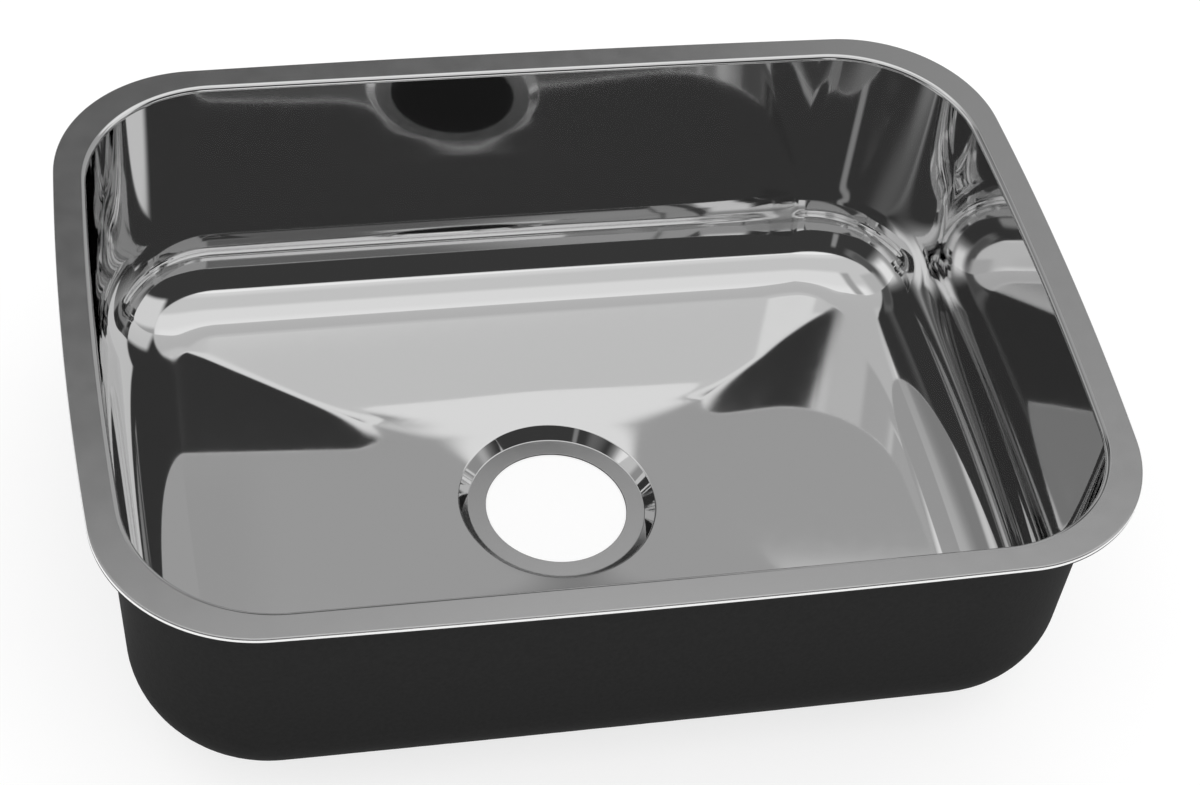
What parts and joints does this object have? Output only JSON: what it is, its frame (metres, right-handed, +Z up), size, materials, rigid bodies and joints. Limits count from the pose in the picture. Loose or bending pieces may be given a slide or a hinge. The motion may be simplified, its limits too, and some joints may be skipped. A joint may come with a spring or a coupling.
{
  "type": "undermount kitchen sink",
  "caption": "Undermount sink, a deep drawn steel bowl with a flat flange turned down at its edge, round corners and a floor creased to a recessed drain hole; dark coating and pads outside.",
  "frame": {"origin": "centre of the footprint, on the plane of the underside of the drain seat", "axes": "+X along the long side, +Y away from the user, +Z up out of the bowl"},
  "size_m": [0.6, 0.45, 0.184],
  "materials": {
    "steel": "bowl polished to a mirror, flange and drain seat satin",
    "undercoat": "dark, matt, sprayed coating",
    "pad": "dark, dull sheet"
  },
  "bodies": {
    "root": {"bowl": "steel", "undercoat": "undercoat", "pad_left": "pad", "pad_right": "pad"}
  },
  "joints": []
}
